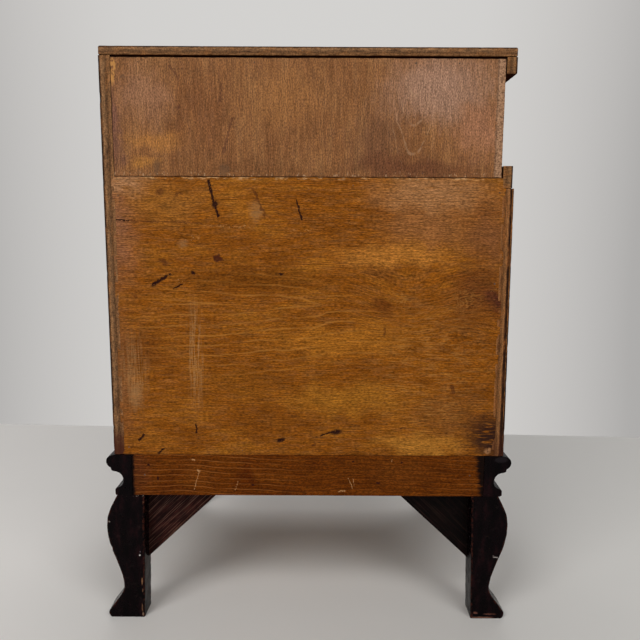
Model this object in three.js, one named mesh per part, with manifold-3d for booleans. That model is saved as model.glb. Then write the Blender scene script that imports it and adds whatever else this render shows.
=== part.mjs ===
// Miniature chest of drawers: a board case on a moulded base with four cabriole legs, and four drawers.
// Millimetres, +Z up. The front faces -Y, the nailed back faces +Y, and left and right are the viewer's,
// from the front. The origin is on the floor, under the middle of the object's bounding box.

import * as THREE from 'three';
import { mergeVertices } from 'three/addons/utils/BufferGeometryUtils.js';
import Module from 'manifold-3d';

const manifold = await Module();
manifold.setup();

// ---------------------------------------------------------------- driving dimensions

const HEIGHT = 344.6; // floor to the top surface
const CASE_DEPTH = 183; // front edge of the side boards to the back face
const KNOB_REACH = 13; // how far the knobs stand out of the case
const OUTER_HALF_WIDTH = 118.2; // over the finished sides
const INNER_HALF_WIDTH = 111.6; // between the side boards
const NOMINAL_HALF_WIDTH = 117.5; // the side face that the moulding and the legs are set out from

const JOINT_GAP = 0.1; // between boards that are glued or nailed together
const CUT_GAP = 0.3; // round a spigot in its hole

const TOP_THICKNESS = 5.1;
const TOP_OVERHANG = 2.5; // at the front only
const TOP_RAIL_HEIGHT = 9.1; // under the top board
const MID_RAIL_TOP = 279.8;
const MID_RAIL_HEIGHT = 12.6;
const BASE_TOP = 106.8;
const BASE_BOTTOM = 81;
const BOTTOM_THICKNESS = 4.1;

const RAIL_HALF_WIDTH = 117.1; // outer face of the top edge and the rails round the side opening
const LEFT_TOP_RAIL_THICKNESS = 5.9;
const FACING_THICKNESS = 1.1; // thin board on the outside of the left side
const POST_DEPTH = 14; // corner post and front dividers, front to back

const BACK_THICKNESS = 3;
const BACK_JOINT = 273; // where the two back boards meet
const UPPER_BACK_LEFT = -110.7;
const UPPER_BACK_TOP = 338.9;
const LOWER_BACK_HALF_WIDTH = 113.8; // let into a rebate in both side boards

const DIVIDER_THICKNESS = 6.4;
const RUNNER_WIDTH = 8;

const MOULDING_INSET = 9.7; // from the nominal side face in to the moulding's inner face
const BACK_RAIL_THICKNESS = 17;

const LEG_TOP = BASE_BOTTOM - JOINT_GAP;
const LEG_THICKNESS = 16.1; // front to back
const FRONT_LEG_BLANK = 40; // square block that a front leg is cut out of, both ways
const REAR_LEG_INNER = { top: 100.7, floor: 102.9 };
const FRONT_LEG_INNER = { top: 96, floor: 94.3 };
const BRACE_SETBACK = 9.7; // from the leg's rear face
const BRACE_THICKNESS = 6.2;
const BRACE_REACH = 46.5; // along the base
const BRACE_DROP = 45; // down the leg

const DRAWER_NAMES = ['bottom', 'third', 'second', 'top'];
const DRAWER_SIDE_GAP = 0.8; // drawer to case, each side
const DRAWER_TOP_GAP = 0.8;
const DRAWER_LIFT = 0.3; // running gap over the runners
const DRAWER_RECESS = 0.5; // drawer face behind the case front
const DRAWER_FRONT_THICKNESS = 8.5;
const DRAWER_LAP = 4.5; // drawer side into the rebated front
const DRAWER_BOARD = 4; // drawer sides and back
const DRAWER_BOTTOM_THICKNESS = 2.5;
const DRAWER_BOTTOM_RISE = 2; // under side of the drawer's bottom over the edge of its sides
const DRAWER_SIDE_DROP = 1; // top of the sides under the top of the front
const DRAWER_BACK_GAP = 4.5; // closed drawer to the back boards

const KNOB_SPACING = 124; // between the two knobs of a drawer
const SPIGOT_RADIUS = 2.4;
const SPIGOT_LENGTH = 7.5; // into the drawer front

const KNOB_SIDES = 20;
const KNOB_CURVE_STEPS = 5;
const LEG_CURVE_STEPS = 9;

// ---------------------------------------------------------------- planes that follow from them

const TOTAL_DEPTH = CASE_DEPTH + KNOB_REACH;
const BACK = TOTAL_DEPTH / 2;
const FRONT = BACK - CASE_DEPTH;
const TOP_UNDERSIDE = HEIGHT - TOP_THICKNESS;
const TOP_RAIL_TOP = TOP_UNDERSIDE - JOINT_GAP;
const TOP_RAIL_BOTTOM = TOP_RAIL_TOP - TOP_RAIL_HEIGHT;
const MID_RAIL_BOTTOM = MID_RAIL_TOP - MID_RAIL_HEIGHT;
const CASE_BOTTOM = BASE_TOP + JOINT_GAP;
const CASE_FLOOR = CASE_BOTTOM + BOTTOM_THICKNESS;
const BACK_INSIDE = BACK - BACK_THICKNESS;
const LEFT_BOARD_OUTER = OUTER_HALF_WIDTH - FACING_THICKNESS - JOINT_GAP;
const FITTED_HALF_WIDTH = INNER_HALF_WIDTH - JOINT_GAP;
const LOWER_OPENING = (MID_RAIL_BOTTOM - CASE_FLOOR - 2 * DIVIDER_THICKNESS) / 3;

// ---------------------------------------------------------------- materials

const wood = (color, roughness) => new THREE.MeshStandardMaterial({ color, roughness, metalness: 0 });
const darkStain = wood(0x2e1a12, 0.4);
const topStain = wood(0x4a2c18, 0.5);
const frontStain = wood(0x5a2c18, 0.35);
const blackPaint = wood(0x120c0b, 0.25);
const upperBackWood = wood(0x8a5230, 0.6);
const lowerBackWood = wood(0xa8672b, 0.55);
const rawWood = wood(0xb98a5a, 0.7);
const braceWood = wood(0x35140f, 0.5);

// ---------------------------------------------------------------- solids and cuts

function toSolid(geometry) {
  const bare = geometry.clone();
  bare.deleteAttribute('normal');
  bare.deleteAttribute('uv');
  const merged = mergeVertices(bare, 1e-4);
  return new manifold.Manifold(new manifold.Mesh({
    numProp: 3,
    vertProperties: Float32Array.from(merged.attributes.position.array),
    triVerts: Uint32Array.from(merged.index.array),
  }));
}

function toGeometry(solid) {
  const { vertProperties, triVerts } = solid.getMesh();
  const geometry = new THREE.BufferGeometry();
  geometry.setAttribute('position', new THREE.BufferAttribute(vertProperties, 3));
  geometry.setIndex(new THREE.BufferAttribute(triVerts, 1));
  geometry.computeVertexNormals();
  return geometry;
}

const subtract = (geometry, cutter) => toGeometry(toSolid(geometry).subtract(toSolid(cutter)));
const intersect = (a, b) => toGeometry(toSolid(a).intersect(toSolid(b)));

// A box in the object's own frame, from its low and high planes.
function boxGeometry([x0, x1], [y0, y1], [z0, z1]) {
  const box = new THREE.BoxGeometry(x1 - x0, y1 - y0, z1 - z0);
  return box.translate((x0 + x1) / 2, (y0 + y1) / 2, (z0 + z1) / 2);
}

// An outline in the X-Z plane, carried from y = 0 towards -Y.
function alongDepth(shape, depth, curveSegments = 8) {
  const geometry = new THREE.ExtrudeGeometry(shape, { depth, bevelEnabled: false, curveSegments });
  return geometry.rotateX(Math.PI / 2);
}

function piece(name, material, geometry) {
  const mesh = new THREE.Mesh(geometry, material);
  mesh.name = name;
  return mesh;
}

// A plain board, from its low and high planes.
function board(name, material, [x0, x1], [y0, y1], [z0, z1]) {
  const mesh = piece(name, material, new THREE.BoxGeometry(x1 - x0, y1 - y0, z1 - z0));
  mesh.position.set((x0 + x1) / 2, (y0 + y1) / 2, (z0 + z1) / 2);
  return mesh;
}

// ---------------------------------------------------------------- case

const chest = new THREE.Group();
const fullDepth = [FRONT, BACK];

// The room that the lower back board takes out of the rear edge of both sides.
const rebate = boxGeometry(
  [-LOWER_BACK_HALF_WIDTH - JOINT_GAP, LOWER_BACK_HALF_WIDTH + JOINT_GAP],
  [BACK_INSIDE - JOINT_GAP, BACK + 1],
  [CASE_BOTTOM - 1, BACK_JOINT],
);
const rebated = (xs, zs) => subtract(boxGeometry(xs, fullDepth, zs), rebate);

chest.add(
  board('top_board', topStain, [-RAIL_HALF_WIDTH, OUTER_HALF_WIDTH], [FRONT - TOP_OVERHANG, BACK],
    [TOP_UNDERSIDE, HEIGHT]),
  piece('right_side_board', darkStain,
    rebated([INNER_HALF_WIDTH, OUTER_HALF_WIDTH], [CASE_BOTTOM, TOP_RAIL_TOP])),
  piece('left_side_board', darkStain,
    rebated([-LEFT_BOARD_OUTER, -INNER_HALF_WIDTH], [CASE_BOTTOM, MID_RAIL_BOTTOM - JOINT_GAP])),
  board('left_side_facing', darkStain,
    [-OUTER_HALF_WIDTH, -LEFT_BOARD_OUTER - JOINT_GAP], fullDepth,
    [CASE_BOTTOM, MID_RAIL_BOTTOM - JOINT_GAP]),
  piece('left_mid_rail', darkStain,
    rebated([-RAIL_HALF_WIDTH, -INNER_HALF_WIDTH], [MID_RAIL_BOTTOM, MID_RAIL_TOP])),
  board('left_top_rail', darkStain, [-RAIL_HALF_WIDTH, LEFT_TOP_RAIL_THICKNESS - RAIL_HALF_WIDTH], fullDepth,
    [TOP_RAIL_BOTTOM, TOP_RAIL_TOP]),
  board('left_front_post', darkStain, [-RAIL_HALF_WIDTH, -INNER_HALF_WIDTH], [FRONT, FRONT + POST_DEPTH],
    [MID_RAIL_TOP + JOINT_GAP, TOP_RAIL_BOTTOM - JOINT_GAP]),
  board('bottom_board', rawWood, [-FITTED_HALF_WIDTH, FITTED_HALF_WIDTH],
    [FRONT, BACK_INSIDE - 2 * JOINT_GAP], [CASE_BOTTOM, CASE_FLOOR]),
  board('upper_back_panel', upperBackWood, [UPPER_BACK_LEFT, FITTED_HALF_WIDTH], [BACK_INSIDE, BACK],
    [BACK_JOINT + JOINT_GAP, UPPER_BACK_TOP]),
  board('lower_back_panel', lowerBackWood, [-LOWER_BACK_HALF_WIDTH, LOWER_BACK_HALF_WIDTH],
    [BACK_INSIDE, BACK], [CASE_BOTTOM, BACK_JOINT - JOINT_GAP]),
);

// ---------------------------------------------------------------- front rails and drawer runners

// Floor and ceiling of each drawer's space, from the bottom up.
const spaces = DRAWER_NAMES.map((name, level) => {
  const isTop = level === DRAWER_NAMES.length - 1;
  const floor = isTop ? MID_RAIL_TOP : CASE_FLOOR + level * (LOWER_OPENING + DIVIDER_THICKNESS);
  return { name, floor, ceiling: isTop ? TOP_RAIL_BOTTOM : floor + LOWER_OPENING };
});

function frontRail(name, low, high, left = -FITTED_HALF_WIDTH) {
  return board(name, darkStain, [left, FITTED_HALF_WIDTH], [FRONT, FRONT + POST_DEPTH], [low, high]);
}

const [bottomSpace, thirdSpace, secondSpace, topSpace] = spaces;
const railLeft = LEFT_TOP_RAIL_THICKNESS + JOINT_GAP - RAIL_HALF_WIDTH;
chest.add(
  frontRail('front_top_rail', TOP_RAIL_BOTTOM, TOP_RAIL_TOP, railLeft),
  frontRail('front_mid_rail', secondSpace.ceiling, topSpace.floor),
  frontRail('upper_front_divider', thirdSpace.ceiling, secondSpace.floor),
  frontRail('lower_front_divider', bottomSpace.ceiling, thirdSpace.floor),
);

for (const { name, floor } of [thirdSpace, secondSpace, topSpace]) {
  for (const [hand, side] of [['left', -1], ['right', 1]]) {
    const across = [side * FITTED_HALF_WIDTH, side * (FITTED_HALF_WIDTH - RUNNER_WIDTH)];
    chest.add(board(`${name}_${hand}_runner`, rawWood, across.sort((a, b) => a - b),
      [FRONT + POST_DEPTH + JOINT_GAP, BACK_INSIDE - 2 * JOINT_GAP], [floor - DIVIDER_THICKNESS, floor]));
  }
}

// ---------------------------------------------------------------- moulded base

// Base moulding: a fat bead over a fillet, a deep cove and a square lower edge. u is measured out from the
// nominal side face, and side is 1 or -1 for a profile that faces +X or -X from that face.
function mouldingShape(side, origin) {
  const x = (u) => side * (origin + u);
  const bead = { u: 1.9, z: 102.3, radius: 4.1, from: -68, to: 90, steps: 9 };
  const shape = new THREE.Shape();
  shape.moveTo(x(-MOULDING_INSET), BASE_BOTTOM);
  shape.lineTo(x(0.5), BASE_BOTTOM);
  shape.lineTo(x(1), BASE_BOTTOM + 0.5);
  shape.lineTo(x(1), 84.9);
  shape.lineTo(x(0.3), 85.5);
  shape.quadraticCurveTo(x(-4.1), 86.3, x(-4.1), 90.2);
  shape.quadraticCurveTo(x(-4.1), 95.2, x(1.7), 96.2);
  shape.lineTo(x(3), 96.8);
  for (let step = 0; step <= bead.steps; step += 1) {
    const angle = THREE.MathUtils.degToRad(bead.from + ((bead.to - bead.from) * step) / bead.steps);
    shape.lineTo(x(bead.u + bead.radius * Math.cos(angle)), bead.z + bead.radius * Math.sin(angle));
  }
  shape.lineTo(x(0.7), BASE_TOP);
  shape.lineTo(x(-MOULDING_INSET), BASE_TOP);
  shape.closePath();
  return shape;
}

// Carries each point of an end face along by its own u, which cuts that end at 45 degrees.
function mitre(geometry, length, outward, bothEnds) {
  const position = geometry.attributes.position;
  for (let i = 0; i < position.count; i += 1) {
    const y = position.getY(i);
    const u = outward(position.getX(i));
    if (y < -length / 2) position.setY(i, y - u);
    else if (bothEnds) position.setY(i, y + u);
  }
  return geometry;
}

for (const [hand, side] of [['left', -1], ['right', 1]]) {
  const length = CASE_DEPTH - JOINT_GAP;
  const run = alongDepth(mouldingShape(side, NOMINAL_HALF_WIDTH), length);
  const mesh = piece(`${hand}_base_moulding`, blackPaint,
    mitre(run, length, (x) => Math.abs(x) - NOMINAL_HALF_WIDTH, false));
  mesh.position.y = BACK;
  chest.add(mesh);
}

const frontLength = 2 * (NOMINAL_HALF_WIDTH - JOINT_GAP);
const frontMoulding = piece('front_base_moulding', blackPaint,
  mitre(alongDepth(mouldingShape(1, 0), frontLength), frontLength, (x) => x, true));
frontMoulding.rotation.z = -Math.PI / 2;
frontMoulding.position.set(frontLength / 2, FRONT, 0);
chest.add(frontMoulding);

const railHalfLength = NOMINAL_HALF_WIDTH - MOULDING_INSET - JOINT_GAP;
chest.add(board('base_back_rail', lowerBackWood, [-railHalfLength, railHalfLength],
  [BACK - BACK_RAIL_THICKNESS, BACK], [BASE_BOTTOM, BASE_TOP]));

// ---------------------------------------------------------------- legs and braces

// Outer edge of a cabriole leg, from the base down: a full knee, a slim ankle and a foot that kicks out.
// at(u, z) maps the distance out from the nominal side face into the outline's own plane.
function legOuterEdge(shape, at) {
  shape.moveTo(...at(0, LEG_TOP));
  shape.bezierCurveTo(...at(3.1, 74.5), ...at(6.6, 69.5), ...at(6.6, 61.5));
  shape.bezierCurveTo(...at(6.6, 44), ...at(-3.3, 34), ...at(-3.3, 20));
  shape.bezierCurveTo(...at(-3.3, 16.5), ...at(1.5, 11), ...at(6.4, 4.2));
  shape.quadraticCurveTo(...at(7.3, 2.4), ...at(5.7, 0));
}

// Side view of a leg that stands on the given side, with a straight inner edge.
function legShape(side, inner) {
  const shape = new THREE.Shape();
  legOuterEdge(shape, (u, z) => [side * (NOMINAL_HALF_WIDTH + u), z]);
  shape.lineTo(side * inner.floor, 0);
  shape.lineTo(side * inner.top, LEG_TOP);
  shape.closePath();
  return shape;
}

// The same outer edge turned to the front, down to the leg's flat rear face.
function legFrontShape() {
  const shape = new THREE.Shape();
  legOuterEdge(shape, (u, z) => [u, z]);
  shape.lineTo(-LEG_THICKNESS, 0);
  shape.lineTo(-LEG_THICKNESS, LEG_TOP);
  shape.closePath();
  return shape;
}

// A triangle under the base, its upright edge along the leg's inner edge.
function braceShape(side, inner) {
  const lean = (inner.floor - inner.top) / LEG_TOP;
  const innerAt = (z) => inner.top + lean * (LEG_TOP - z) - JOINT_GAP;
  const shape = new THREE.Shape();
  shape.moveTo(side * innerAt(LEG_TOP), LEG_TOP);
  shape.lineTo(side * (innerAt(LEG_TOP) - BRACE_REACH), LEG_TOP);
  shape.lineTo(side * innerAt(LEG_TOP - BRACE_DROP), LEG_TOP - BRACE_DROP);
  shape.closePath();
  return shape;
}

for (const [hand, side] of [['left', -1], ['right', 1]]) {
  const rearLeg = piece(`rear_${hand}_leg`, blackPaint,
    alongDepth(legShape(side, REAR_LEG_INNER), LEG_THICKNESS, LEG_CURVE_STEPS));
  rearLeg.position.y = BACK;

  const acrossView = alongDepth(legShape(side, FRONT_LEG_INNER), FRONT_LEG_BLANK, LEG_CURVE_STEPS);
  const frontView = alongDepth(legFrontShape(), 2 * OUTER_HALF_WIDTH + FRONT_LEG_BLANK, LEG_CURVE_STEPS);
  frontView.rotateZ(-Math.PI / 2).translate(OUTER_HALF_WIDTH + FRONT_LEG_BLANK / 2, FRONT, 0);
  acrossView.translate(0, FRONT + LEG_THICKNESS, 0);
  const frontLeg = piece(`front_${hand}_leg`, blackPaint, intersect(acrossView, frontView));

  const rearBrace = piece(`rear_${hand}_brace`, braceWood,
    alongDepth(braceShape(side, REAR_LEG_INNER), BRACE_THICKNESS));
  rearBrace.position.y = BACK - BRACE_SETBACK;
  const frontBrace = piece(`front_${hand}_brace`, braceWood,
    alongDepth(braceShape(side, FRONT_LEG_INNER), BRACE_THICKNESS));
  frontBrace.position.y = FRONT + MOULDING_INSET;
  chest.add(rearLeg, frontLeg, rearBrace, frontBrace);
}

// ---------------------------------------------------------------- drawers

// Plan of a drawer front, with its two ends rebated behind for the sides.
function drawerFrontShape(halfWidth) {
  const lapX = halfWidth - DRAWER_BOARD - JOINT_GAP;
  const lapY = DRAWER_FRONT_THICKNESS - DRAWER_LAP;
  const shape = new THREE.Shape();
  shape.moveTo(-halfWidth, 0);
  shape.lineTo(halfWidth, 0);
  shape.lineTo(halfWidth, lapY);
  shape.lineTo(lapX, lapY);
  shape.lineTo(lapX, DRAWER_FRONT_THICKNESS);
  shape.lineTo(-lapX, DRAWER_FRONT_THICKNESS);
  shape.lineTo(-lapX, lapY);
  shape.lineTo(-halfWidth, lapY);
  shape.closePath();
  return shape;
}

// A turned knob: a spigot behind the face at y = 0, a waisted neck and a domed head towards -Y.
function knobGeometry() {
  const outline = new THREE.Path();
  outline.moveTo(0, -KNOB_REACH - DRAWER_RECESS);
  outline.bezierCurveTo(4, -KNOB_REACH - DRAWER_RECESS, 6.2, -11.6, 6.2, -9.2);
  outline.bezierCurveTo(6.2, -6.4, 2.7, -6.2, 2.9, -3.6);
  outline.quadraticCurveTo(3.1, -1.6, 4.4, -1.4);
  outline.lineTo(4.4, -JOINT_GAP);
  outline.lineTo(SPIGOT_RADIUS, -JOINT_GAP);
  outline.lineTo(SPIGOT_RADIUS, SPIGOT_LENGTH);
  outline.lineTo(0, SPIGOT_LENGTH);
  return new THREE.LatheGeometry(outline.getPoints(KNOB_CURVE_STEPS), KNOB_SIDES);
}

function knobHole(x) {
  const radius = SPIGOT_RADIUS + CUT_GAP;
  const hole = new THREE.CylinderGeometry(radius, radius, 2 * DRAWER_FRONT_THICKNESS, KNOB_SIDES);
  return hole.translate(x, DRAWER_FRONT_THICKNESS / 2, 0);
}

// One drawer, drawn with its face at y = 0 and the floor of its space at z = 0.
function drawer({ name, floor, ceiling }) {
  const halfWidth = INNER_HALF_WIDTH - DRAWER_SIDE_GAP;
  const frontTop = ceiling - floor - DRAWER_TOP_GAP;
  const sideTop = frontTop - DRAWER_SIDE_DROP;
  const length = BACK_INSIDE - DRAWER_BACK_GAP - FRONT - DRAWER_RECESS;
  const sideStart = DRAWER_FRONT_THICKNESS - DRAWER_LAP + JOINT_GAP;
  const insideHalf = halfWidth - DRAWER_BOARD;
  const bottomLow = DRAWER_LIFT + DRAWER_BOTTOM_RISE;
  const bottomHigh = bottomLow + DRAWER_BOTTOM_THICKNESS;
  const fittedHalf = insideHalf - JOINT_GAP;
  const knobHeight = (frontTop + DRAWER_LIFT) / 2;

  const blank = new THREE.ExtrudeGeometry(drawerFrontShape(halfWidth),
    { depth: frontTop - DRAWER_LIFT, bevelEnabled: false });
  blank.translate(0, 0, DRAWER_LIFT);
  let front = blank;
  const group = new THREE.Group();
  for (const [hand, side] of [['left', -1], ['right', 1]]) {
    const x = (side * KNOB_SPACING) / 2;
    front = subtract(front, knobHole(x).translate(0, 0, knobHeight));
    const knob = piece(`${name}_drawer_${hand}_knob`, blackPaint, knobGeometry());
    knob.position.set(x, 0, knobHeight);
    const across = [side * halfWidth, side * insideHalf].sort((a, b) => a - b);
    group.add(knob, board(`${name}_drawer_${hand}_side`, rawWood, across, [sideStart, length],
      [DRAWER_LIFT, sideTop]));
  }
  group.add(
    piece(`${name}_drawer_front`, frontStain, front),
    board(`${name}_drawer_back`, rawWood, [-fittedHalf, fittedHalf], [length - DRAWER_BOARD, length],
      [bottomHigh + JOINT_GAP, sideTop]),
    board(`${name}_drawer_bottom`, rawWood, [-fittedHalf, fittedHalf],
      [DRAWER_FRONT_THICKNESS + JOINT_GAP, length], [bottomLow, bottomHigh]),
  );
  group.position.set(0, FRONT + DRAWER_RECESS, floor);
  return group;
}

spaces.forEach((space) => chest.add(drawer(space)));

export default chest;
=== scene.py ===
"""Miniature chest of drawers, seen from its nailed back: looks, camera, floor and light.

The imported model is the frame. Meshes are worked out in millimetres, in that frame, and written in metres.
Front is -Y, back is +Y, and +X is the viewer's right from the front.
"""

import math

import bmesh
import bpy
from mathutils import Euler, Matrix, Vector, noise


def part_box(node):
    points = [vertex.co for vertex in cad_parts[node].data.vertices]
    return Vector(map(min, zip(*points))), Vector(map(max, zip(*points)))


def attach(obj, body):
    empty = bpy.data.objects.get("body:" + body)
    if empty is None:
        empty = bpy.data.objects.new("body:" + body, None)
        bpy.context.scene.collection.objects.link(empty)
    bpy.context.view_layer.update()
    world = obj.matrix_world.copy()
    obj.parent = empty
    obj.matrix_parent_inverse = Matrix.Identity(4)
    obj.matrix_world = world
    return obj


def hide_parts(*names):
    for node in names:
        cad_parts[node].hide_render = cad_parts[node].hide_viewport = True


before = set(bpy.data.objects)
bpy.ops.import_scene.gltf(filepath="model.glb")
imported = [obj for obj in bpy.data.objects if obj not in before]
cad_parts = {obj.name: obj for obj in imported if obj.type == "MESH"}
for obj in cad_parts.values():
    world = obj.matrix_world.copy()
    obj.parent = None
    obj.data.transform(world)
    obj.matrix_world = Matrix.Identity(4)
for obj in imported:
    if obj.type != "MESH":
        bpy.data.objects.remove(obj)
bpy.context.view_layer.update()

MM = 0.001
CASE = "case"


def low_high(node):
    """Box of a CAD node, in millimetres."""
    low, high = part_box(node)
    return Vector(low) / MM, Vector(high) / MM


# ---------------------------------------------------------------- planes read from the frame

BACK = low_high("lower_back_panel")[1].y
FRONT = low_high("right_side_board")[0].y
HEIGHT = low_high("top_board")[1].z
BASE_TOP = low_high("base_back_rail")[1].z
BASE_BOTTOM = low_high("base_back_rail")[0].z
JOINT = low_high("lower_back_panel")[1].z
NOMINAL = 117.5  # the side face that the moulding and the legs are set out from
HANDS = (("left", -1), ("right", 1))  # each side of the chest, and its sign along X


# ---------------------------------------------------------------- meshes

def finish_mesh(name, points, faces, edge, body=CASE, slot=None, replaces=(), smooth_angle=0.6):
    """Makes a smooth-shaded object from points in millimetres. edge is 1 on an arris, 0 away from it."""
    mesh = bpy.data.meshes.new(name)
    mesh.from_pydata([tuple(Vector(p) * MM) for p in points], [], faces)
    mesh.validate()
    worn = mesh.attributes.new("edge", "FLOAT", "POINT")
    worn.data.foreach_set("value", edge)
    fix = bmesh.new()
    fix.from_mesh(mesh)
    bmesh.ops.recalc_face_normals(fix, faces=fix.faces)
    fix.to_mesh(mesh)
    fix.free()
    for polygon in mesh.polygons:
        polygon.use_smooth = True
    mesh.set_sharp_from_angle(angle=smooth_angle)
    made = bpy.data.objects.new(name, mesh)
    bpy.context.scene.collection.objects.link(made)
    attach(made, body)
    if replaces:
        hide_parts(*replaces)
    return made


def axis_stops(low, high, radius, step):
    """Lattice places along one axis: close together at the two ends, step apart between."""
    near = [0, 0.3 * radius, 0.65 * radius, radius]
    for extra in (0.5, 1.3, 2.6):
        if high - low > 2 * (radius + extra) + 1:
            near.append(radius + extra)
    inner_low, inner_high = low + near[-1], high - near[-1]
    count = max(1, math.ceil((inner_high - inner_low) / step))
    middle = [inner_low + (inner_high - inner_low) * i / count for i in range(count + 1)]
    return [low + n for n in near[:-1]] + middle + [high - n for n in reversed(near[:-1])]


def lattice_faces(sizes):
    """The six faces of a lattice block, as quads of lattice places."""
    for axis in range(3):
        u, v = [a for a in range(3) if a != axis]
        for side in (0, sizes[axis] - 1):
            for i in range(sizes[u] - 1):
                for j in range(sizes[v] - 1):
                    quad = []
                    for di, dj in ((0, 0), (1, 0), (1, 1), (0, 1)):
                        place = [0, 0, 0]
                        place[axis], place[u], place[v] = side, i + di, j + dj
                        quad.append(tuple(place))
                    yield quad


def old_board(node, name, radius=0.35, step=2.4, wobble=0.05, dents=0.35, cut=None, seed=0, **kept):
    """A board with rounded arrises, a slightly uneven face and dented edges, in place of a CAD board.

    cut(point) may move a finished point, for an edge that isn't straight."""
    low, high = low_high(node)
    stops = [axis_stops(low[a], high[a], radius, step) for a in range(3)]
    inner_low, inner_high = low + Vector((radius,) * 3), high - Vector((radius,) * 3)
    index, points, edge, faces = {}, [], [], []

    def vertex(place):
        if place in index:
            return index[place]
        p = Vector(stops[a][place[a]] for a in range(3))
        core = Vector(min(max(p[a], inner_low[a]), inner_high[a]) for a in range(3))
        out = (p - core).normalized()
        p = core + out * radius
        away = sorted(min(p[a] - low[a], high[a] - p[a]) for a in range(3))[1]
        near_edge = math.exp(-max(away - 0.3 * radius, 0) / 1.3)
        shift = wobble * noise.noise((p + Vector((seed * 31, 0, 0))) / 23)
        dent = noise.noise((p + Vector((0, seed * 17, 0))) / 3.1) - 0.22
        p -= out * (max(dent, 0) * dents * near_edge + abs(shift))
        index[place] = len(points)
        points.append(cut(p) if cut else p)
        edge.append(near_edge)
        return index[place]

    for quad in lattice_faces([len(s) for s in stops]):
        faces.append([vertex(place) for place in quad])
    return finish_mesh(name, points, faces, edge, replaces=[node], **kept)


def swept(name, outline, stations, edges_at, body=CASE, **kept):
    """Skins a closed outline through its stations: outline(i, s) gives point i at station s."""
    count = len(edges_at)
    points = [outline(i, s) for s in stations for i in range(count)]
    edge = [edges_at[i] for s in stations for i in range(count)]
    faces = []
    for k in range(len(stations) - 1):
        for i in range(count):
            j = (i + 1) % count
            faces.append([k * count + i, k * count + j, (k + 1) * count + j, (k + 1) * count + i])
    faces.append(list(range(count)))
    faces.append([(len(stations) - 1) * count + i for i in range(count)])
    return finish_mesh(name, points, faces, edge, body=body, **kept)


def bezier(start, control_a, control_b, end, steps, first=False):
    """Points of a cubic curve in a plane, without its first point unless asked for."""
    found = []
    for k in range(0 if first else 1, steps + 1):
        t = k / steps
        weights = ((1 - t) ** 3, 3 * t * (1 - t) ** 2, 3 * t * t * (1 - t), t ** 3)
        corners = (start, control_a, control_b, end)
        found.append(tuple(sum(w * c[a] for w, c in zip(weights, corners)) for a in (0, 1)))
    return found


def turned(name, profile, centre, sides=48, **kept):
    """A lathe-turned piece about an axis along Y. profile is (radius, y), from axis to axis."""
    points, edge, faces, rows = [], [], [], []
    for radius, y in profile:
        if radius < 1e-6:
            rows.append([len(points)])
            points.append(centre + Vector((0, y, 0)))
            edge.append(0.3)
            continue
        row = []
        for k in range(sides):
            angle = 2 * math.pi * k / sides
            row.append(len(points))
            points.append(centre + Vector((radius * math.cos(angle), y, radius * math.sin(angle))))
            edge.append(0.0)
        rows.append(row)
    for a, b in zip(rows, rows[1:]):
        for k in range(sides):
            n = (k + 1) % sides
            corners = [a[k % len(a)], a[n % len(a)], b[n % len(b)], b[k % len(b)]]
            faces.append(list(dict.fromkeys(corners)))
    return finish_mesh(name, points, faces, edge, **kept)


# ---------------------------------------------------------------- material graphs

class Graph:
    """A node tree being built. place is the coordinate that its masks and noises read."""

    def __init__(self, tree, coordinate):
        self.tree = tree
        self.tree.nodes.clear()
        self.place = self.node("TexCoord").outputs[coordinate]

    def node(self, kind, **settings):
        made = self.tree.nodes.new("ShaderNode" + kind)
        for key, value in settings.items():
            setattr(made, key, value)
        return made

    def feed(self, socket, value):
        """Links a socket, or sets it: a colour is filled up to the socket's length."""
        if isinstance(value, bpy.types.NodeSocket):
            self.tree.links.new(value, socket)
        elif isinstance(value, (tuple, Vector)):
            socket.default_value = tuple(value) + (1.0,) * (len(socket.default_value) - len(value))
        else:
            socket.default_value = value

    def vector(self, operation, a, b=None, factor=None):
        made = self.node("VectorMath", operation=operation)
        self.feed(made.inputs[0], a)
        if b is not None:
            self.feed(made.inputs[1], b)
        if factor is not None:
            self.feed(made.inputs["Scale"], factor)
        scalar = operation in ("LENGTH", "DISTANCE", "DOT_PRODUCT")
        return made.outputs["Value" if scalar else "Vector"]

    def math(self, operation, a, b=None):
        made = self.node("Math", operation=operation)
        self.feed(made.inputs[0], a)
        if b is not None:
            self.feed(made.inputs[1], b)
        return made.outputs[0]

    def chain(self, operation, values):
        result = values[0]
        for value in values[1:]:
            result = self.math(operation, result, value)
        return result

    def times(self, *values):
        return self.chain("MULTIPLY", values)

    def plus(self, *values):
        return self.chain("ADD", values)

    def most(self, *values):
        return self.chain("MAXIMUM", values)

    def between(self, value, low, high, out_low=0.0, out_high=1.0):
        """Eases value's stretch from low to high into out_low to out_high."""
        made = self.node("MapRange", interpolation_type="SMOOTHSTEP")
        for socket, given in zip(made.inputs, (value, low, high, out_low, out_high)):
            self.feed(socket, given)
        return made.outputs[0]

    def axis(self, letter, vector=None):
        made = self.node("SeparateXYZ")
        self.feed(made.inputs[0], self.place if vector is None else vector)
        return made.outputs["XYZ".index(letter)]

    def ramp(self, value, *stops, interpolation="LINEAR"):
        made = self.node("ValToRGB")
        made.color_ramp.interpolation = interpolation
        elements = made.color_ramp.elements
        while len(elements) < len(stops):
            elements.new(0.5)
        for element, (position, colour) in zip(elements, stops):
            element.position = position
            element.color = (*colour, 1.0)
        self.feed(made.inputs[0], value)
        return made.outputs["Color"]


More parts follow.
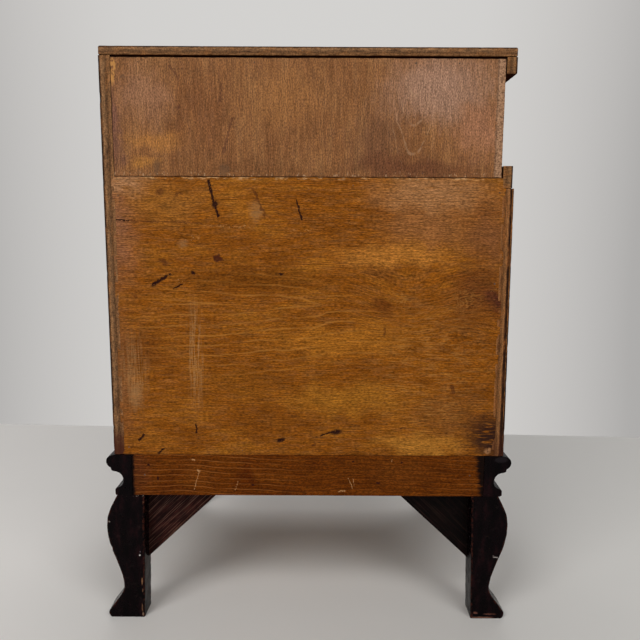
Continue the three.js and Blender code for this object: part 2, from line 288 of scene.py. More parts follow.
class Paint(Graph):
    """A node material being built: place in the row frame's millimetres, and the colour so far."""

    def __init__(self, name):
        self.material = bpy.data.materials.new(name)
        self.material.use_nodes = True
        super().__init__(self.material.node_tree, "Object")
        self.place = self.vector("SCALE", self.place, factor=1 / MM)
        self.normal = self.node("NewGeometry").outputs["Normal"]
        self.edge = self.node("Attribute", attribute_name="edge").outputs["Fac"]
        self.colour = None

    def noise_node(self, size, detail, roughness, distortion, at, seed):
        sizes = size if isinstance(size, tuple) else (size,) * 3
        away = (seed * 37.3, seed * 11.7, seed * 23.1)
        moved = self.vector("ADD", self.place if at is None else at, away)
        made = self.node("TexNoise", noise_dimensions="3D")
        self.feed(made.inputs["Vector"], self.vector("MULTIPLY", moved, tuple(1 / s for s in sizes)))
        made.inputs["Scale"].default_value = 1.0
        made.inputs["Detail"].default_value = detail
        made.inputs["Roughness"].default_value = roughness
        made.inputs["Distortion"].default_value = distortion
        return made

    def noise(self, size, detail=3.0, roughness=0.55, distortion=0.0, at=None, seed=0):
        """Noise whose blobs are about size millimetres; size may differ by axis."""
        return self.noise_node(size, detail, roughness, distortion, at, seed).outputs["Fac"]

    def ragged(self, amount, size=2.5, seed=5):
        """The place, shaken by up to about half of amount, so that marks get uneven edges."""
        shaken = self.noise_node(size, 3.0, 0.6, 0.0, None, seed).outputs["Color"]
        centred = self.vector("SUBTRACT", shaken, (0.5, 0.5, 0.5))
        return self.vector("ADD", self.place, self.vector("SCALE", centred, factor=2 * amount))

    def grey(self, value):
        """A grey of that value, as a colour."""
        made = self.node("CombineColor")
        for socket in made.inputs:
            self.feed(socket, value)
        return made.outputs[0]

    def lay(self, under, mask, share, over):
        """Lays a colour over another one where mask is 1, share strong."""
        made = self.node("Mix", data_type="RGBA", blend_type="MIX")
        factor, colour_a, colour_b = (s for s in made.inputs if s.enabled)
        self.feed(factor, mask if share == 1 else self.times(mask, share))
        self.feed(colour_a, under)
        self.feed(colour_b, over)
        return next(s for s in made.outputs if s.enabled)

    def over(self, mask, share, colour):
        """Lays a colour over the paint's own: a socket, or (red, green, blue) for tone()."""
        if isinstance(colour, tuple):
            colour = tone(*colour)
        self.colour = self.lay(self.colour, mask, share, colour)

    def shaded(self, colour, value):
        """A colour made darker or lighter by a factor that varies."""
        return self.vector("MULTIPLY", colour, self.grey(value))

    def shade(self, value):
        self.colour = self.shaded(self.colour, value)

    def spot(self, x, z, radius_x, radius_z, soft=0.6, at=None, turn=0.0):
        """1 inside an ellipse on the X-Z plane, easing to 0 at its rim."""
        moved = self.vector("SUBTRACT", self.place if at is None else at, (x, 0, z))
        if turn:
            rotated = self.node("VectorRotate", rotation_type="Y_AXIS")
            self.feed(rotated.inputs["Vector"], moved)
            rotated.inputs["Angle"].default_value = math.radians(turn)
            moved = rotated.outputs[0]
        size = self.vector("LENGTH", self.vector("MULTIPLY", moved, (1 / radius_x, 0, 1 / radius_z)))
        return self.between(size, 1.0, 1.0 - soft)

    def streak(self, start_x, start_z, end_x, end_z, width, soft=0.6, at=None):
        """1 along a line on the X-Z plane, easing to 0 at its sides."""
        a, b = Vector((start_x, 0, start_z)), Vector((end_x, 0, end_z))
        along = (b - a).normalized()
        flat = self.vector("MULTIPLY", self.place if at is None else at, (1, 0, 1))
        moved = self.vector("SUBTRACT", flat, tuple(a))
        run = self.most(self.vector("DOT_PRODUCT", moved, tuple(along)), 0)
        run = self.math("MINIMUM", run, (b - a).length)
        distance = self.vector("DISTANCE", moved, self.vector("SCALE", tuple(along), factor=run))
        return self.between(distance, width / 2, width / 2 * (1 - soft))

    def marks(self, at, spots=(), streaks=(), soft=0.6):
        """Several marks as one mask. spots: (x, z, rx, rz[, turn]); streaks: (x, z, x, z, width)."""
        masks = [self.spot(*spot[:4], soft, at, *spot[4:]) for spot in spots]
        masks += [self.streak(*streak, soft, at) for streak in streaks]
        return self.most(*masks)

    def zones(self, patches, streaky):
        """Lays broad patches with streaky rims: (x, z, rx, rz, share, colour as seen)."""
        loose = self.ragged(12, 16, seed=15)
        for *place, share, colour in patches:
            mask = self.plus(self.spot(*place, 1.0, loose), self.times(streaky, 0.7), -0.35)
            self.over(self.between(mask, -0.05, 1.05), share, colour)

    def surface(self, roughness, height, relief=0.12, specular=0.5, metallic=0.0, coat=0.0,
                coat_roughness=0.2):
        """Ends the graph. relief is the bump's depth in millimetres for a height of 1."""
        shader = self.node("BsdfPrincipled")
        self.feed(shader.inputs["Base Color"], self.colour)
        self.feed(shader.inputs["Roughness"], roughness)
        shader.inputs["Metallic"].default_value = metallic
        self.feed(shader.inputs["Specular IOR Level"], specular)
        shader.inputs["Coat Weight"].default_value = coat
        shader.inputs["Coat Roughness"].default_value = coat_roughness
        bump = self.node("Bump")
        bump.inputs["Distance"].default_value = relief * MM
        self.feed(bump.inputs["Height"], height)
        self.tree.links.new(bump.outputs[0], shader.inputs["Normal"])
        out = self.node("OutputMaterial")
        self.tree.links.new(shader.outputs[0], out.inputs["Surface"])
        return self.material


STUDIO_LIGHT = 0.84  # share of its own colour that an upright surface sends back in this studio


def tone(red, green, blue):
    """The colour that a surface needs to look so, 0 to 255, in this studio."""
    shares = [c / 255 for c in (red, green, blue)]
    linear = [((c + 0.055) / 1.055) ** 2.4 if c > 0.04 else c / 12.92 for c in shares]
    return tuple(c / STUDIO_LIGHT for c in linear)


def wood(p, grain, dark, middle, light, seed=0, figure=18.0, fibre=0.22, mottle=0.30, pores=0.4, at=None,
         patches=(), run=7.0):
    """Grain along one axis: cloudy figure, broad patches, fibres run long, a fine mottle and short pores.

    Paints p with it and gives the height."""
    def along(length, across):
        return tuple(length if letter == grain else across for letter in "XYZ")

    at = p.place if at is None else at
    cloud = p.noise(along(figure * 2.2, figure), 3.0, 0.55, 0.3, at, seed)
    bands = p.noise(along(figure * 2.5, figure / 5), 3.0, 0.6, 0.4, at, seed + 1)
    fibres = p.noise(along(run, 0.62), 3.0, 0.6, 0.1, at, seed + 2)
    flecks = p.noise(along(run / 6, 0.58), 2.0, 0.6, 0.0, at, seed + 3)
    ticks = p.noise(along(2.6, 0.45), 1.0, 0.5, 0.0, at, seed + 4)
    figured = p.plus(p.times(cloud, 0.55), p.times(bands, 0.45))
    dark, middle, light = tone(*dark), tone(*middle), tone(*light)
    p.colour = p.ramp(figured, (0.32, dark), (0.5, middle), (0.68, light))
    if patches:
        p.zones(patches, p.noise(along(9, 2.2), 4.0, 0.65, 0.2, at, seed + 5))
    p.shade(p.between(fibres, 0.28, 0.72, 1 - fibre, 1 + fibre))
    p.shade(p.between(flecks, 0.28, 0.72, 1 - mottle, 1 + mottle))
    pore = p.between(ticks, 0.38, 0.24)
    p.colour = p.lay(p.colour, pore, pores, tuple(c * 0.35 for c in dark))
    return p.plus(p.times(fibres, 0.4), p.times(flecks, 0.3), p.times(pore, -0.6))


# ---------------------------------------------------------------- timber of the back

def upper_back_material():
    p = Paint("upper_back_wood")
    # Golden at the viewer's left, a grey-pink haze at the right that is painted sheen, darker along the
    # foot.
    patches = [
        (96, 280, 14, 7, 1.0, (164, 110, 50)), (86, 294, 28, 10, 1.0, (162, 108, 54)),
        (92, 318, 24, 28, 0.8, (144, 102, 74)), (111, 303, 10, 44, 1.0, (112, 74, 58)),
        (60, 306, 26, 50, 0.7, (114, 70, 38)), (14, 316, 34, 28, 0.7, (146, 98, 54)),
        (-38, 294, 26, 34, 0.7, (106, 70, 46)), (-74, 322, 50, 34, 0.95, (156, 120, 98)),
        (-98, 298, 26, 24, 0.9, (156, 108, 78)), (-60, 279, 60, 12, 0.8, (96, 56, 34)),
        (30, 276, 70, 9, 0.6, (106, 66, 34))]
    height = wood(p, "Z", (113, 71, 38), (131, 87, 50), (147, 103, 63), seed=3, figure=15,
                          fibre=0.27, mottle=0.44, patches=patches)
    loose, near = p.ragged(5, 14), p.ragged(1.3, 1.6)
    rough = p.ragged(3.0, 3.5, seed=8)
    # The figure of the veneer: nested pale arches standing on their tips.
    wavy = p.ragged(2.0, 8)
    aside = p.plus(p.axis("X", wavy), 60)
    level = p.plus(p.times(aside, aside, 0.21), p.times(p.axis("Z", wavy), -1))
    arches = p.between(p.math("SINE", p.plus(p.times(level, 0.3785), 2.856)), 0.90, 1.0)
    broken = p.between(p.noise((2, 4, 5), seed=2), 0.36, 0.58)
    p.over(p.times(arches, broken, p.spot(-59, 303, 19, 32, 0.6, loose)), 0.36, (186, 150, 116))
    # Water stains, spots and bruises.
    grey = p.marks(rough, [(87.0, 278.3, 3.2, 6.2), (48.4, 276.9, 3.8, 4.8), (104.6, 327.7, 1.9, 1.7)])
    p.over(grey, 0.5, (84, 64, 48))
    dark = p.marks(near, [
        (73.8, 311.5, 1.5, 2.2, 20), (109.6, 327.5, 0.9, 1.9), (-46, 281, 1.0, 0.7),
        (-26.7, 274.2, 0.9, 0.7), (-65.4, 276.2, 0.8, 0.8)], [
        (78.4, 334.2, 73.7, 327.2, 1.6), (49.1, 324.5, 50.1, 314.7, 1.3),
        (43.2, 306.0, 46.5, 294.2, 1.6), (46.5, 294.2, 48.6, 286.7, 2.1)])
    p.over(dark, 0.55, (78, 42, 30))
    # Bright bare wood at the viewer's upper left, a rough paler strip down the right.
    bare = p.times(p.spot(111.0, 331.5, 2.6, 9.0, 0.4, rough), p.between(p.noise(2.2, seed=6), 0.36, 0.5))
    p.over(bare, 0.8, (192, 136, 72))
    strip = p.between(p.axis("X", p.ragged(1.6, 4)), -105.7, -106.8)
    crossed = p.noise((1.2, 2, 0.8), 4.0, 0.75, seed=9)
    p.over(strip, 0.8, p.ramp(crossed, (0.36, tone(84, 58, 42)), (0.6, tone(188, 146, 112))))
    brink = p.times(strip, p.between(p.axis("X", p.ragged(0.9, 2.5)), -107.4, -106.6))
    p.over(brink, 0.55, (76, 50, 34))
    # Chips: small pale ones by the joint, dark ones where the arris is bruised.
    low = p.between(p.axis("Z"), 277.2, 274.0)
    splinters = p.times(low, p.between(p.noise((1.3, 2, 2.2), 2.0, 0.6, seed=11), 0.61, 0.68))
    p.over(splinters, 0.5, (196, 160, 122))
    rim = p.between(p.plus(p.times(p.edge, 0.6), p.noise((3, 3, 3), 3.0, 0.7, seed=13)), 0.98, 1.14)
    p.over(rim, 0.75, (66, 38, 22))
    height = p.plus(height, p.times(strip, crossed, 0.9), p.times(dark, -0.8))
    shine = p.between(p.noise(14, 3.0, 0.6, seed=12), 0.3, 0.7, 0.46, 0.66)
    return p.surface(shine, height, specular=0.15)


def lower_back_material():
    p = Paint("lower_back_wood")
    # The grain bends round a knot and a swirl near the viewer's right edge.
    from_knot = p.vector("MULTIPLY", p.vector("SUBTRACT", p.place, (-60, 0, 203.5)), (1 / 15, 0, 1 / 9))
    reach = p.vector("LENGTH", from_knot)
    bent = p.place
    for rise, share in ((9.0, p.between(reach, 3.0, 0.0)), (-4.0, p.spot(-88, 188, 28, 14, 1.0))):
        bent = p.vector("ADD", bent, p.vector("SCALE", (0.0, 0.0, rise), factor=share))
    patches = [
        (118, 245, 32, 60, 1.0, (136, 90, 62)), (118, 160, 28, 70, 1.0, (122, 76, 42)),
        (106, 270, 30, 12, 1.0, (156, 112, 76)), (82, 258, 44, 20, 0.8, (146, 94, 36)),
        (-72, 264, 60, 22, 1.0, (154, 108, 68)), (-70, 244, 50, 20, 0.8, (140, 92, 52)),
        (-106, 240, 22, 30, 0.9, (118, 74, 42)), (-48, 229, 60, 13, 1.0, (168, 108, 42)),
        (-100, 206, 30, 30, 0.9, (98, 54, 22)), (-110, 203, 10, 14, 1.0, (74, 36, 24)),
        (-44, 218, 16, 10, 0.7, (98, 54, 18)), (-42, 199, 16, 10, 0.8, (94, 48, 12)),
        (30, 214, 70, 16, 0.9, (104, 57, 8)), (-20, 177, 76, 15, 1.0, (152, 94, 26)),
        (98, 170, 28, 24, 0.7, (102, 54, 13)), (-24, 142, 64, 18, 0.9, (150, 96, 27)),
        (20, 126, 44, 12, 0.6, (110, 60, 11)), (-84, 134, 36, 22, 0.6, (114, 70, 30)),
        (-68, 114, 46, 12, 1.0, (160, 106, 38)), (40, 152, 40, 16, 0.5, (122, 72, 16)),
        (96, 116, 30, 12, 0.6, (138, 84, 24))]
    height = wood(p, "X", (108, 58, 7), (129, 73, 14), (147, 91, 25), seed=21, figure=14,
                          fibre=0.42, mottle=0.46, pores=0.5, at=bent, patches=patches, run=11.0)
    loose, near, rough = p.ragged(6, 16), p.ragged(1.2, 1.5), p.ragged(2.6, 3, seed=8)
    # Pale growth lines: long level ones, and a tongue of them open to the viewer's left.
    wander = p.ragged(3, 26, seed=14)
    rise = p.math("ABSOLUTE", p.plus(p.axis("Z", wander), -200))
    opened = p.math("SQRT", p.most(p.plus(p.axis("X", wander), 10), 0))
    level = p.plus(rise, p.times(opened, -0.95))
    line = p.between(p.math("SINE", p.plus(p.times(level, 1.02), 3.1)), 0.80, 1.0)
    broken = p.between(p.noise((26, 5, 6), seed=7), 0.34, 0.54)
    shown = p.times(p.spot(30, 186, 110, 44, 0.7, loose), broken)
    p.over(p.times(line, shown), 0.48, (178, 120, 50))
    # Burr figure round the knots, as contour lines, and dark ripples below it.
    burr = p.noise((8, 8, 6), 2.0, 0.45, 0.4, seed=25)
    curls = p.between(p.math("SINE", p.times(burr, 62)), 0.35, 1.0)
    around = p.most(p.spot(-57, 203, 14, 11, 0.9, rough),
                    p.times(0.9, p.spot(-92, 202, 16, 12, 0.9, rough)))
    p.over(p.times(curls, around), 0.4, (168, 116, 54))
    p.over(p.spot(-60.5, 203, 5, 4, 0.9, rough), 0.4, (86, 54, 26))
    ripples = p.between(p.math("SINE", p.times(p.axis("Z", p.ragged(4, 12, seed=3)), 2.3)), 0.3, 1.0)
    p.over(p.times(ripples, p.spot(-86, 186, 24, 12, 0.9, loose)), 0.3, (64, 34, 12))
    dashes = p.between(p.noise((8, 2, 0.6), 3.0, 0.65, seed=28), 0.52, 0.64)
    p.over(p.times(dashes, p.spot(-72, 162, 46, 60, 0.7, loose)), 0.42, (190, 134, 66))
    # Runs and smears of pale dust, streaky down the board.
    drips = p.between(p.noise((0.75, 2, 15), 3.0, 0.6, seed=16), 0.40, 0.60)
    beads = p.between(p.noise((0.9, 1, 0.8), 2.0, 0.7, seed=26), 0.36, 0.6, 0.35, 1.0)
    wet = p.most(p.spot(67, 170, 7, 48, 0.9, rough), p.times(0.7, p.spot(104, 158, 12, 34, 0.9, rough)))
    p.over(p.times(wet, drips, beads), 0.6, (182, 140, 90))
    smears = p.marks(rough, [(30.4, 253.5, 6.0, 8.2), (73, 234.6, 5.0, 3.6), (104, 143, 5, 11)], soft=0.8)
    smears = p.times(smears, p.between(p.noise((5, 2, 1.2), 3.0, 0.7, seed=17), 0.3, 0.65, 0.35, 1.0))
    p.over(smears, 0.42, (168, 128, 84))
    # Scratches down into the wood, knots, nail bruises.
    deep = p.marks(near, [
        (54.0, 257.4, 2.6, 3.4), (81.2, 216.8, 1.2, 1.1), (67.4, 217.7, 1.5, 1.5),
        (-17.0, 121.7, 4.8, 2.4, -6), (16.8, 116.3, 3.8, 1.7, -14), (101.8, 117.0, 1.8, 1.5, -30),
        (-109.5, 109.7, 0.7, 0.7), (16.1, 217.3, 2.0, 0.8)], [
        (57.6, 270.8, 54.4, 257.2, 1.9), (55.0, 259, 52.0, 250.6, 1.9), (90.9, 210.8, 83.4, 215.6, 2.6),
        (78.9, 208.7, 74.5, 210.8, 1.4), (102.8, 116.2, 99.6, 119.4, 1.8),
        (67.9, 126.2, 67.6, 121.0, 1.4), (91.2, 107.7, 87.7, 110.5, 1.4), (6.9, 259.6, 3.8, 248.7, 1.3),
        (-8.0, 119.4, -14.0, 121.4, 1.5), (112.4, 248.4, 104.2, 247.8, 1.2)])
    deep = p.times(deep, p.between(p.noise(0.9, 2.0, seed=20), 0.26, 0.42))
    faint = p.marks(rough, [
        (85.8, 264.3, 3.2, 2.6), (74.9, 263.2, 3.2, 1.2, -14), (84.2, 224.1, 4.6, 2.2, 30),
        (24.0, 236.9, 0.8, 0.6), (-3.2, 113.5, 2.2, 1.5), (-57, 124.5, 2.6, 0.7), (-45, 183, 1.2, 3.6),
        (-86.6, 148, 1.6, 4.2), (112.9, 126, 2.0, 1.6), (102, 204, 2, 1.4), (-45.6, 140.1, 0.9, 0.7),
        (-29.1, 110.7, 1.2, 0.8), (107.8, 111, 1.0, 0.7)], [
        (104, 247.8, 62, 246.6, 1.1), (32.0, 265.5, 25.1, 251.0, 2.6)])
    p.over(faint, 0.6, (70, 34, 16))
    corner = p.times(p.spot(-112, 119, 25, 21, 0.8, rough),
                     p.between(p.noise((9, 3, 1.3), 4.0, seed=18), 0.3, 0.5))
    p.over(corner, 0.95, (40, 22, 18))
    p.over(p.spot(-109.2, 109.9, 3.2, 2.6, 0.5, rough), 0.6, (172, 124, 84))
    p.over(p.spot(52.9, 226.3, 3.6, 2.9, 0.5, rough), 0.85, (60, 24, 18))
    p.over(deep, 0.95, (30, 9, 9))
    # Pale chips beside the marks, and pale scratches across the grain.
    specks = p.times(p.between(p.noise((1.3, 1, 0.7), 2.0, 0.6, seed=19), 0.62, 0.69),
                     p.marks(rough, [(74, 212, 6, 5), (68, 238, 6, 4), (6, 242.3, 6, 2), (0, 266, 3.5, 3),
                                     (-109, 207, 3, 5), (42, 245, 22, 2)], soft=0.9))
    p.over(specks, 0.6, (204, 160, 100))
    pale = p.marks(near, [(63.7, 238.2, 0.8, 0.8)],
                   [(60.9, 245.0, 34.0, 244.4, 0.5), (14, 242, -2, 243, 0.5)])
    p.over(p.times(pale, p.between(p.noise(2.2, seed=27), 0.42, 0.56)), 0.45, (206, 150, 84))
    # The top arris: dark, with pale splinters here and there.
    top = p.between(p.axis("Z"), 270.8, 272.4)
    chips = p.between(p.noise((4.5, 2, 1.4), 3.0, 0.7, seed=4), 0.52, 0.60)
    p.over(p.times(top, chips), 0.7, (206, 162, 112))
    rim = p.between(p.plus(p.times(p.edge, 0.6), p.noise((4, 3, 4), 3.0, 0.7, seed=13)), 1.0, 1.16)
    p.over(rim, 0.7, (58, 30, 12))
    height = p.plus(height, p.times(deep, -2.4), p.times(faint, -0.5), p.times(specks, -0.6))
    shine = p.between(p.noise(16, 3.0, 0.6, seed=12), 0.3, 0.7, 0.42, 0.6)
    return p.surface(shine, height, 0.13, specular=0.07)


def back_rail_material():
    p = Paint("back_rail_wood")
    sag = p.ragged(2, 30)
    patches = [
        (104, 95, 14, 20, 0.8, (86, 44, 20)), (66, 96, 16, 16, 0.6, (112, 60, 16)),
        (38, 95, 12, 18, 0.9, (78, 32, 3)), (-56, 96, 40, 16, 0.5, (98, 52, 14)),
        (84, 84, 20, 5, 0.6, (80, 36, 6))]
    height = wood(p, "X", (80, 36, 3), (95, 46, 5), (110, 58, 11), seed=33, figure=8,
                          fibre=0.34, mottle=0.44, pores=0.5, at=sag, patches=patches, run=9.0)
    # Pale growth lines slope gently along the rail and fade towards -X.
    slope = p.plus(p.axis("Z", p.ragged(0.8, 12)), p.times(p.axis("X"), -0.028),
                   p.times(p.noise((80, 30, 40), 1.0, seed=2), 12.0))
    line = p.between(p.math("SINE", p.times(slope, 1.9)), 0.86, 1.0)
    aside = p.axis("X", sag)
    shown = p.plus(p.between(aside, -10, 40, 0.10, 0.6), p.between(aside, -72, -100, 0.0, 0.3))
    broken = p.between(p.noise((14, 5, 3), 3.0, 0.6, seed=6), 0.36, 0.52, 0.25, 1.0)
    p.over(p.times(line, shown, broken), 1, (158, 98, 44))
    dark_line = p.between(p.math("SINE", p.plus(p.times(slope, 1.9), -1.3)), 0.3, 1.0)
    p.over(dark_line, 0.35, (62, 24, 3))
    near = p.ragged(1.1, 1.6)
    pale = p.marks(near, [
        (66.9, 96.8, 1.7, 1.1, 30), (-51.0, 103.9, 0.4, 1.3), (-20.7, 84.0, 3.0, 0.7, -8),
        (70, 103.8, 2.2, 0.6, 20)], [
        (66.4, 97, 69.9, 85.0, 0.45), (-24.5, 92.5, -27.5, 86.0, 0.45), (-27.6, 92, -28.2, 88, 0.4),
        (43, 90, 44.5, 84.5, 0.4)])
    pale = p.times(pale, p.between(p.noise(1.1, 2.0, seed=21), 0.34, 0.5))
    p.over(pale, 0.75, (196, 148, 96))
    dots = p.marks(near, [
        (-43.1, 89.5, 1.9, 0.9), (33.9, 87.8, 1.3, 0.8), (92.0, 91.8, 0.8, 1.6), (97.6, 100.4, 1.0, 1.2),
        (-57.5, 102.6, 1.0, 0.6), (-27.5, 102.9, 0.8, 0.7)])
    p.over(dots, 0.9, (26, 12, 14))
    # Black paint has bled onto both ends.
    leaning = p.plus(p.axis("X", p.ragged(5.0, (9, 4, 2))), p.times(p.axis("Z"), -0.12))
    ends = p.most(p.between(p.axis("X", p.ragged(1.6, 4)), 105.4, 107.2),
                  p.between(leaning, -113.0, -117.0))
    p.over(ends, 0.97, (10, 5, 5))
    height = p.plus(height, p.times(dots, -0.8))
    return p.surface(0.5, height, specular=0.05)


# ---------------------------------------------------------------- finished and painted timber

def stained(name, grain, thickness, inner, outer, seed, share_dark=0.0, tint=(1, 1, 1)):
    """Dark-stained outside, with the bare streaky edge of the board on its rear face.

    thickness is the axis across the board, which runs from inner to outer, its finished face."""
    p = Paint(name)
    height = wood(p, grain, (28, 12, 8), (44, 21, 13), (64, 32, 18), seed=seed, figure=18,
                          fibre=0.34, mottle=0.2)
    wear = p.plus(p.times(p.edge, 0.75), p.noise((2.6, 2.6, 5), 4.0, 0.7, seed=seed))
    p.over(p.between(wear, 1.16, 1.34), 0.75, (134, 84, 44))
    # Rear edge: streaks along the board, a paler strip inside, and a dark finished arris outside.
    letter = "X" if thickness == "Z" or grain == "Y" else "Z"
    streaks = p.noise({"X": (7, 3, 0.7), "Z": (0.7, 3, 7)}[letter], 4.0, 0.7, 0.3, seed=seed + 4)
    grit = p.noise(0.8, 2.0, 0.6, seed=seed + 5)
    blotch = p.noise({"X": (11, 9, 4), "Z": (4, 9, 11)}[letter], 3.0, 0.6, seed=seed + 6)
    shaken = p.axis(thickness, p.ragged(0.45, 3.5))
    across = p.math("DIVIDE", p.math("SUBTRACT", shaken, inner), outer - inner)
    plies = ((0.0, (136, 100, 66)), (0.20, (122, 86, 56)), (0.34, (92, 64, 40)), (0.52, (112, 82, 56)),
             (0.74, (140, 104, 72)), (0.82, (112, 80, 54)), (0.90, (36, 20, 12)))
    layers = p.ramp(across, *((position, tone(*seen)) for position, seen in plies))
    layers = p.lay(layers, p.between(blotch, 0.50, 0.70), 0.5, tone(134, 88, 48))
    layers = p.lay(layers, p.between(blotch, 0.44, 0.30), 0.6, tone(72, 44, 26))
    layers = p.shaded(layers, p.between(streaks, 0.3, 0.7, 0.58, 1.38))
    layers = p.shaded(layers, p.between(grit, 0.3, 0.7, 0.62, 1.34))
    layers = p.vector("MULTIPLY", layers, tint)
    if share_dark:
        # Stain has soaked in towards the foot of the board.
        low = p.between(p.axis("Z", p.ragged(5, 5)), 126, 112)
        layers = p.lay(layers, low, share_dark, tone(66, 28, 16))
    behind = p.between(p.axis("Y", p.normal), 0.5, 0.8)
    p.over(behind, 1, layers)
    height = p.plus(height, p.times(streaks, behind, 1.6))
    # A raw, dull face below, as under the top's overhang.
    specular = p.between(p.axis("Z", p.normal), -0.7, -0.4, 0.0, 0.12)
    return p.surface(p.between(behind, 0, 1, 0.34, 0.62), height, 0.10, specular=specular)


def black_paint(name, chips=(), seed=0, worn_top=False, gloss=0.06):
    """Brushed black gloss over red-brown wood, rubbed thin on the arrises.

    chips are (x, z, rx, rz, colour as seen), on the rear face only: chipped paint on the legs, and a
    painted highlight on the -X moulding's bead."""
    p = Paint(name)
    cloud = p.noise((5, 5, 14), 4.0, 0.6, seed=seed)
    p.colour = p.ramp(cloud, (0.35, tone(3, 1, 2)), (0.55, tone(10, 3, 5)), (0.75, tone(32, 11, 14)))
    rubbed = p.plus(p.times(p.edge, 0.7), p.noise(2.4, 5.0, 0.7, seed=seed + 1))
    p.over(p.between(rubbed, 1.16, 1.28), 0.8, (58, 26, 18))
    p.over(p.between(rubbed, 1.35, 1.40), 0.8, (130, 94, 68))
    near = p.ragged(0.6, 1.4)
    rear = p.between(p.axis("Y"), BACK - 1.6, BACK - 0.8)
    # Spots of chipped paint, and on one moulding a painted highlight.
    for *place, seen in chips:
        p.over(p.times(rear, p.spot(*place, 0.45, near)), 1, seen)
    if worn_top:
        # Crumbs of pale filler along the joint under the moulding.
        crumbs = p.between(p.noise(1.2, 2.0, seed=seed + 7), 0.60, 0.68)
        joint = p.times(p.between(p.axis("Z"), 79.6, 80.5), crumbs)
        p.over(joint, 0.6, (170, 154, 138))
    dust = p.between(p.noise(5, 5.0, 0.75, seed=seed + 2), 0.56, 0.8)
    p.over(dust, 0.06, (128, 100, 96))
    brush = p.noise((0.9, 6, 9), 3.0, 0.6, seed=seed + 3)
    pits = p.noise(1.1, 3.0, 0.6, seed=seed + 4)
    height = p.plus(p.times(brush, 0.7), p.times(pits, 0.3))
    shine = p.between(p.noise(7, 3.0, 0.6, seed=seed + 5), 0.35, 0.7, 0.14, 0.34)
    return p.surface(shine, height, 0.14, specular=gloss)


def brace_material(name, side):
    """Stained pine with its grain along the brace's long edge."""
    p = Paint(name)
    turned_place = p.node("VectorRotate", rotation_type="Y_AXIS")
    p.feed(turned_place.inputs["Vector"], p.place)
    turned_place.inputs["Angle"].default_value = math.radians(-44 * side)
    at = turned_place.outputs[0]
    tones = ((16, 5, 4), (33, 11, 9), (56, 24, 18)) if side > 0 else ((2, 1, 1), (6, 2, 2), (22, 7, 7))
    height = wood(p, "X", *tones, seed=51, figure=4, fibre=0.5, mottle=0.3, pores=0.3, at=at, run=20)
    scrape = p.between(p.noise((34, 2, 0.55), 3.0, 0.6, at=at, seed=6), 0.53, 0.64)
    p.over(scrape, 0.42 if side > 0 else 0.05, (128, 92, 78))
    return p.surface(0.42, height, specular=0.07)


def front_material(name, seed):
    """Varnished, red-stained drawer front with its grain across."""
    p = Paint(name)
    height = wood(p, "X", (44, 14, 7), (76, 28, 13), (108, 48, 21), seed=seed, figure=12,
                          fibre=0.3, mottle=0.18)
    ribbon = p.between(p.noise((4, 8, 30), 2.0, 0.5, 0.6, seed=seed + 5), 0.35, 0.65, 0.82, 1.18)
    p.shade(ribbon)
    smoke = p.between(p.noise(30, 3.0, 0.6, seed=seed + 7), 0.5, 0.75)
    p.over(smoke, 0.5, (38, 16, 10))
    rim = p.between(p.math("ABSOLUTE", p.axis("X", p.ragged(3, 8))), 100, 110)
    p.over(rim, 0.45, (30, 13, 9))
    scuffs = p.between(p.noise((9, 5, 0.8), 4.0, 0.75, seed=seed + 8), 0.66, 0.74)
    p.over(scuffs, 0.3, (150, 96, 60))
    shine = p.between(p.noise(9, 4.0, 0.6, seed=seed), 0.3, 0.7, 0.2, 0.36)
    return p.surface(shine, height, 0.05, coat=0.35, coat_roughness=0.1)


def raw_material(name, grain, seed):
    """Bare, dusty whitewood inside the case and drawers; a front edge is stained like the case."""
    p = Paint(name)
    height = wood(p, grain, (134, 92, 54), (166, 124, 80), (190, 150, 104), seed=seed,
                          figure=12, fibre=0.2, mottle=0.14, pores=0.3)
    grime = p.between(p.noise(18, 4.0, 0.65, seed=seed + 3), 0.5, 0.8)
    p.over(grime, 0.55, (104, 76, 50))
    in_front = p.times(p.between(p.axis("Y", p.normal), -0.5, -0.8),
                       p.between(p.axis("Y"), FRONT + 4, FRONT + 2))
    p.over(in_front, 1, (34, 16, 10))
    return p.surface(0.68, height, specular=0.3)


def nail_material():
    p = Paint("old_nail")
    rust = p.noise(0.8, 4.0, 0.7)
    p.colour = p.ramp(rust, (0.4, tone(60, 42, 32)), (0.55, tone(96, 78, 64)), (0.7, tone(150, 134, 118)))
    return p.surface(0.45, rust, 0.08, metallic=0.6)


def floor_material():
    """Pale and faintly cloudy, and a little brighter towards +X, which is painted light."""
    p = Paint("pale_floor")
    # Painted light: the rise towards +X brightens the floor on the side of the stronger softbox.
    shade = p.plus(p.times(p.noise(160, 3.0, 0.5), 0.3), p.between(p.axis("X"), -200, 300, 0.1, 0.6))
    p.colour = p.ramp(shade, (0.25, (0.73, 0.72, 0.70)), (0.75, (0.84, 0.82, 0.80)))
    grit = p.noise(1.6, 4.0, 0.6)
    return p.surface(0.45, grit, 0.03, specular=0.1)


def dress(obj, material):
    obj.data.materials.clear()
    obj.data.materials.append(material)


# ---------------------------------------------------------------- boards of the case

